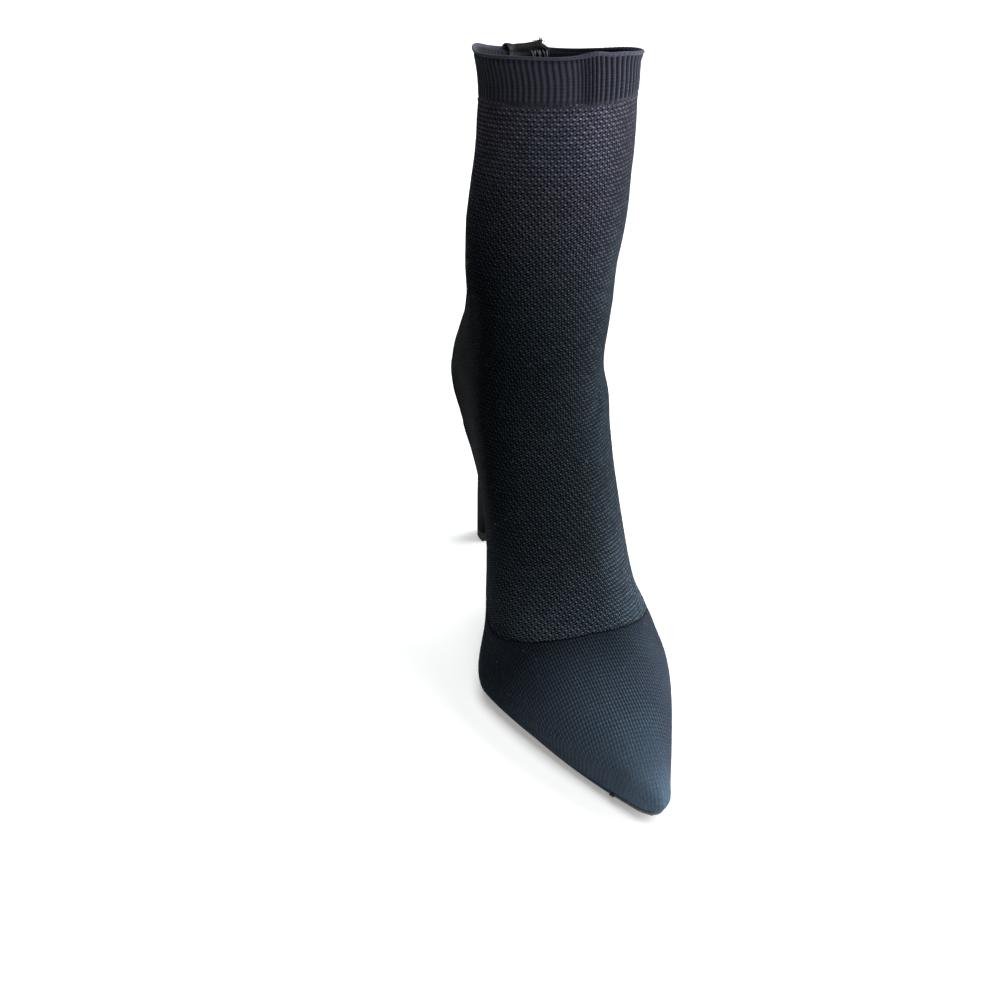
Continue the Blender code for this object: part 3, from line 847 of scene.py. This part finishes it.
def tube_object(name, lines, radius, sides=6):
    """Joined round threads along lines of points in metres, thinner towards their ends."""
    points, faces = [], []
    helper = np.array([0.31, 0.22, 0.92])
    for line in lines:
        start, count = len(points), len(line)
        along = unit(np.gradient(line, axis=0) / MM)
        first = unit(np.cross(along, helper))
        second = np.cross(along, first)
        from_end = np.minimum(np.arange(count), np.arange(count)[::-1])
        taper = np.sqrt(np.clip(from_end / 1.5 + 0.12, 0, 1))
        for k, centre in enumerate(line):
            for n in range(sides):
                angle = 2 * math.pi * n / sides
                arm = first[k] * math.cos(angle) + second[k] * math.sin(angle)
                points.append(centre + arm * radius * MM * taper[k])
        for k in range(count - 1):
            low, high = start + k * sides, start + (k + 1) * sides
            for n in range(sides):
                m = (n + 1) % sides
                faces.append((low + n, low + m, high + m, high + n))
        faces.append(tuple(start + n for n in reversed(range(sides))))
        faces.append(tuple(start + (count - 1) * sides + n for n in range(sides)))
    mesh = bpy.data.meshes.new(name)
    mesh.from_pydata([tuple(q) for q in points], [], faces)
    obj = link(name, mesh)
    face_out(mesh)
    mesh.shade_smooth()
    return obj


def thread_material(name, light, dark):
    g = Graph(name)
    twist = g.noise(2600.0, 2.0, 0.6)
    return g.finish(
        Base_Color=g.colour(g.step(twist, 0.3, 0.7), rgb(*dark), rgb(*light)),
        Normal=g.bump(twist, 0.5, 0.0002),
        Roughness=0.8,
        Specular_IOR_Level=0.15,
        Sheen_Weight=0.1,
        Sheen_Roughness=0.4,
    )


def make_chain_stitch():
    """Looped stitches that join the cuff to the knit, one to each rib."""
    lines = []
    share = np.linspace(-0.52, 0.52, 9)
    below = CUFF_HEIGHT - 0.1 + 0.65 * (1 - (2 * share) ** 2)
    proud = 0.05 + 0.2 * np.cos(np.pi * share)
    for k in range(RIBS):
        turn = rib_turns((k + 0.5 + share) - RIBS / 2)
        lines.append(to_boot(cuff_points(below, turn, proud)))
    obj = tube_object("chain_stitch", lines, 0.3)
    obj.data.materials.append(thread_material("chain_thread", (0.075, 0.078, 0.1), (0.02, 0.021, 0.028)))
    return obj


def lean_out(t, turn):
    """Unit normals of the upper's outside where it faces up."""
    step = 0.004
    along = upper_points(t + step, turn) - upper_points(t - step, turn)
    round_ = upper_points(t, turn + step) - upper_points(t, turn - step)
    normal = unit(np.cross(along, round_))
    return normal * np.sign(normal[..., 2:3])


def make_seam_stitches():
    """Short slanted stitches along the front of the vamp's seam."""
    spacing, long_, section = 1.72, 1.35, 25.0
    turns = np.linspace(-0.1, 0.1, 1200)
    length = run_length(upper_points(seam_row(turns), turns))
    share = np.linspace(0, 1, 6)
    proud = 0.12 + 0.3 * np.sin(np.pi * share)
    rng = np.random.default_rng(9)
    lines = []
    for start in np.arange(0, length[-1] - 1.8, spacing):
        turn = np.interp(start + long_ * share, length, turns)
        t = seam_row(turn) + (0.25 + 0.6 * share + rng.uniform(-0.1, 0.1)) / section
        lines.append(to_boot(upper_points(t, turn) + lean_out(t, turn) * proud[:, None]))
    obj = tube_object("seam_stitches", lines, 0.24)
    obj.data.materials.append(thread_material("seam_thread", (0.05, 0.06, 0.078), (0.012, 0.014, 0.018)))
    return obj


def loop_wall(below, turn, swell):
    """Points along the cuff's solid form, standing off it by swell."""
    low, round_ = np.meshgrid(below, turn, indexing="ij")
    bead = np.sqrt(np.maximum(0, 1 - ((low - RIM_HEIGHT / 2) / (RIM_HEIGHT / 2)) ** 2))
    puff = np.where(low > CUFF_HEIGHT, 0.0, CUFF_SWELL + RIM_SWELL * bead)
    t = CUFF_FOOT + 1 - low / CUFF_HEIGHT
    return upper_points(t, round_) + outward(round_) * (puff + swell)[..., None]


def loop_sag(across):
    """How far the loop's fold sags across it, in millimetres."""
    dents = 0.6 * bell(across - 1.0, 2.4) + 0.5 * bell(across + 5.0, 5.0)
    return 2.1 * smooth((across - 4.8) / 5.5) + dents - 0.2


def loop_lines(across):
    """Middle lines of the pull loop at positions across it in millimetres: up outside, over, down inside."""
    turn = 0.5 + (across + LOOP_SHIFT) / GIRTH
    outside = loop_wall(np.linspace(LOOP_OUTSIDE, RIM_HEIGHT / 2, LOOP_ROWS_OUT), turn, LOOP_OFF)
    inside = loop_wall(np.linspace(RIM_HEIGHT / 2, LOOP_INSIDE, LOOP_ROWS_IN), turn, -LOOP_IN)
    centre = (outside[-1] + inside[0]) / 2
    reach = outside[-1] - centre
    angle = np.linspace(0, np.pi, LOOP_ROWS_OVER + 2)[1:-1, None, None]
    top = (RIM_HEIGHT / 2 + LOOP_RISE - loop_sag(across))[:, None] * np.array([0, 0, 1.0])
    bend = centre + reach * np.cos(angle) + top * np.sin(angle)
    return np.concatenate([outside, bend, inside])


def loop_frame():
    """Places across the loop, its middle lines and outward directions, and the creases of worn leather."""
    across = np.linspace(-LOOP_WIDTH / 2, LOOP_WIDTH / 2, LOOP_COLUMNS)
    lines = loop_lines(across)
    normal = unit(np.cross(np.gradient(lines, axis=1), np.gradient(lines, axis=0)))
    backwards = normal[LOOP_ROWS_OUT // 3, :, 1]
    normal = normal * np.sign(np.sum(backwards))
    row = np.arange(len(lines))[:, None] / 5.0
    place = np.broadcast_to(across / 60.0, lines.shape[:2])
    crease = 0.32 * value_noise(place + row / 90, 16, row * 0.7, 31)
    crease = crease + 0.2 * value_noise(place - row / 60, 34, row * 1.6, 32)
    return across, lines, normal, crease


def at_places(places, across, vectors):
    """Vectors of one row of the loop at places across it."""
    return np.stack([np.interp(places, across, vectors[:, axis]) for axis in range(3)], -1)


def make_pull_loop():
    angle = 2 * np.pi * np.arange(LOOP_SECTION) / LOOP_SECTION
    wide = np.sign(np.cos(angle)) * np.abs(np.cos(angle)) ** 0.45 * (LOOP_WIDTH / 2)
    thick = np.sign(np.sin(angle)) * np.abs(np.sin(angle)) ** 0.6 * (LOOP_THICKNESS / 2)
    across, lines, normal, crease = loop_frame()
    rows = []
    for line, out, fold in zip(lines, normal, crease):
        off = thick + np.interp(wide, across, fold)
        rows.append(at_places(wide, across, line) + at_places(wide, across, out) * off[:, None])
    points = np.array(rows)
    middle = points.mean(1, keepdims=True)
    first = [mix(middle[:1], points[:1], size) for size in (0.02, 0.93)]
    last = [mix(middle[-1:], points[-1:], size) for size in (0.93, 0.02)]
    obj = grid_object("pull_loop_leather", to_boot(np.concatenate([*first, points, *last])), close_rows=False)
    obj.data.materials.append(leather_material())
    return obj


def leather_material():
    g = Graph("loop_leather")
    pores = g.cells(1100.0)
    folds = g.noise(220.0, 3.0, 0.6)
    return g.finish(
        Base_Color=g.colour(folds, rgb(0.003, 0.003, 0.0032), rgb(0.011, 0.011, 0.0115)),
        Roughness=g.add(0.32, g.mul(folds, 0.2)),
        Normal=g.bump(g.add(pores, g.mul(folds, 1.5)), 0.4, 0.0003),
        Specular_IOR_Level=0.07,
        Coat_Weight=0.02,
        Coat_Roughness=0.3,
    )


def make_loop_stitches():
    """Thick stitches that hold the loop: a row inside under the rim and a row outside."""
    across, lines, normal, _ = loop_frame()
    rng = np.random.default_rng(4)
    shares = np.linspace(0, 1, 7)
    threads = []
    for first, last, low, high in LOOP_STITCH_ROWS:
        for place in np.linspace(low, high, STITCHES_IN_ROW) + rng.uniform(-0.5, 0.5, STITCHES_IN_ROW):
            lean = rng.uniform(-1.6, 1.6)
            line = []
            for share in shares:
                k = int(round(mix(first, last, share)))
                there = place + lean * (share - 0.5)
                proud = LOOP_THICKNESS / 2 + 0.42 * math.sin(math.pi * share)
                line.append(at_places(there, across, lines[k]) + at_places(there, across, normal[k]) * proud)
            threads.append(to_boot(np.array(line)))
    obj = tube_object("loop_stitches", threads, 0.24, 8)
    obj.data.materials.append(thread_material("loop_thread", (0.2, 0.21, 0.23), (0.06, 0.062, 0.07)))
    return obj


def hair(root, lean, length, rng):
    lean = lean / np.linalg.norm(lean)
    curl = rng.normal(0, 0.35, 3)
    share = np.linspace(0, 1, 6)[:, None]
    return to_boot(root + (lean * share + curl * share**2) * length)


def make_frayed_ends():
    """Loose thread ends: a tuft on the loop and a nub at the toe's inner edge."""
    tuft, nub = 40, 14
    rng = np.random.default_rng(11)
    threads = []
    top = loop_lines(np.array([5.6]))[40, 0]
    for _ in range(tuft):
        root = top + rng.normal(0, (1.0, 0.5, 0.25), 3)
        lean = rng.normal(0, 1, 3) * (0.9, 0.6, 0.3) + (0, 0, 0.7)
        threads.append(hair(root, lean, rng.uniform(0.7, 1.9), rng))
    edge = upper_points(0.15, 0.083) + outward(0.16) * 0.9 + (0, 0, -0.3)
    for _ in range(nub):
        lean = rng.normal(0, 0.3, 3) + (-0.7, -0.8, -0.4)
        threads.append(hair(edge + rng.normal(0, 0.3, 3), lean, rng.uniform(0.8, 1.5), rng))
    obj = tube_object("frayed_ends", threads, 0.2, 5)
    obj.data.materials.append(thread_material("frayed_thread", (0.03, 0.032, 0.028), (0.006, 0.006, 0.006)))
    return obj


def sole_material(name, edge_dark, edge_light):
    """Rubber with a fine grip, scuffed on its flat faces, with an edge of its own colour."""
    g = Graph(name)
    grip = g.cells(520.0, distance="CHEBYCHEV")
    scuff = g.noise(60.0, 4.0, 0.65)
    face = g.colour(g.step(scuff, 0.45, 0.75), rgb(0.006, 0.006, 0.007), rgb(0.022, 0.022, 0.023))
    edge = g.colour(scuff, edge_dark, edge_light)
    upright = g.node("ShaderNodeSeparateXYZ", {0: g.place("Normal")}).outputs[2]
    flat = g.step(g.math("ABSOLUTE", upright), 0.3, 0.7)
    return g.finish(
        Base_Color=g.colour(flat, edge, face),
        Roughness=g.add(0.55, g.mul(scuff, 0.3)),
        Normal=g.bump(grip, 0.35, 0.0003),
        Specular_IOR_Level=0.12,
    )


def heel_material():
    g = Graph("heel_cover")
    weave = g.noise(1400.0, 3.0, 0.6)
    wear = g.noise(45.0, 3.0, 0.6)
    return g.finish(
        Base_Color=g.colour(g.step(wear, 0.4, 0.75), rgb(0.0025, 0.0025, 0.003), rgb(0.006, 0.006, 0.007)),
        Roughness=g.add(0.6, g.mul(wear, 0.2)),
        Normal=g.bump(weave, 0.25, 0.0002),
        Specular_IOR_Level=0.015,
    )


def lining_material():
    g = Graph("sock_lining")
    weave = g.noise(1200.0, 3.0, 0.6)
    rubbed = g.noise(30.0, 3.0, 0.6)
    return g.finish(
        Base_Color=g.colour(g.step(rubbed, 0.4, 0.8), rgb(0.008, 0.008, 0.009), rgb(0.024, 0.024, 0.025)),
        Roughness=0.8,
        Normal=g.bump(weave, 0.4, 0.0003),
        Specular_IOR_Level=0.15,
    )


def dress_solids():
    surfaces = {
        "outsole": sole_material("sole_rubber", rgb(0.05, 0.048, 0.047), rgb(0.13, 0.125, 0.12)),
        "top_lift": sole_material("lift_rubber", rgb(0.006, 0.006, 0.006), rgb(0.018, 0.018, 0.018)),
        "heel": heel_material(),
        "insole": lining_material(),
    }
    for node, material in surfaces.items():
        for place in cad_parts[node].material_slots:
            place.material = material


def flat_card(name, corners):
    mesh = bpy.data.meshes.new(name)
    mesh.from_pydata(corners, [], [(0, 1, 2, 3)])
    return link(name, mesh)


def make_floor():
    size = FLOOR_SIZE
    floor = flat_card("floor", [(-size, -size, 0), (size, -size, 0), (size, size, 0), (-size, size, 0)])
    floor.location.z = -FLOOR_DROP
    g = Graph("pale_floor")
    tone = g.step(g.noise(9.0, 2.0), 0.3, 0.7)
    material = g.finish(
        Base_Color=g.colour(tone, rgb(0.86, 0.86, 0.865), rgb(0.88, 0.88, 0.88)),
        Roughness=0.6,
        Emission_Color=rgb(1.0, 0.985, 0.96),
        Emission_Strength=0.33,
    )
    floor.data.materials.append(material)


def make_backdrop():
    """Plain white surround that only the camera sees."""
    rows, columns = 12, 48
    height = np.linspace(-0.05, math.pi / 2 - 0.001, rows)[:, None]
    turn = np.linspace(0, 2 * math.pi, columns, endpoint=False)[None]
    x, y = np.cos(height) * np.cos(turn), np.cos(height) * np.sin(turn)
    points = np.stack([x, y, np.broadcast_to(np.sin(height), x.shape)], -1)
    dome = grid_object("backdrop", points * DOME_RADIUS, close_rows=False)
    g = Graph("white_backdrop")
    tone = g.step(g.noise(0.3, 1.0), 0.2, 0.8)
    material = g.finish(
        Base_Color=rgb(0, 0, 0),
        Emission_Color=g.colour(tone, rgb(0.97, 0.975, 0.98), rgb(1.0, 1.0, 1.0)),
        Emission_Strength=1.05,
        Roughness=1.0,
    )
    dome.data.materials.append(material)
    dome.visible_diffuse = False
    dome.visible_glossy = False
    dome.visible_transmission = False
    dome.visible_shadow = False


def add_shade():
    """Dark card beside the inner side, which keeps the floor's light off it."""
    front, back, low, top = -0.05, 0.14, 0.055, 0.25
    corners = [(-0.062, front, low), (-0.055, back, low), (-0.048, back, top), (-0.055, front, top)]
    card = flat_card("shade_card", corners)
    g = Graph("dark_card")
    card.data.materials.append(g.finish(Base_Color=rgb(0.015, 0.015, 0.015), Roughness=1.0))
    card.visible_camera = False
    card.visible_shadow = False


def add_sun(name, direction, strength, angle):
    data = bpy.data.lights.new(name, "SUN")
    data.energy = strength
    data.angle = math.radians(angle)
    data.color = SUN_COLOUR
    lamp = link(name, data)
    lamp.rotation_euler = Vector(direction).to_track_quat("-Z", "Y").to_euler()


def make_lights():
    world = bpy.data.worlds.new("studio")
    world.use_nodes = True
    background = world.node_tree.nodes["Background"]
    background.inputs["Color"].default_value = rgb(0.93, 0.96, 1.0)
    background.inputs["Strength"].default_value = 0.05
    bpy.context.scene.world = world
    for sun in SUNS:
        add_sun(*sun)


def make_camera():
    data = bpy.data.cameras.new("camera")
    data.lens = 36.0
    data.sensor_width = 36.0
    data.clip_start = 0.01
    camera = link("camera", data)
    camera.location = CAMERA_PLACE
    camera.rotation_euler = (math.radians(CAMERA_TILT), 0, math.radians(CAMERA_SWING))
    bpy.context.scene.camera = camera


bpy.context.scene.view_settings.view_transform = "Standard"
make_camera()
make_lights()
make_floor()
make_backdrop()
add_shade()
dress_solids()
for piece in (make_body(), make_cuff(), make_chain_stitch(), make_seam_stitches()):
    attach(piece, "root")
    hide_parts("upper")
for piece in (make_pull_loop(), make_loop_stitches(), make_frayed_ends()):
    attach(piece, "root")
    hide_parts("pull_loop")
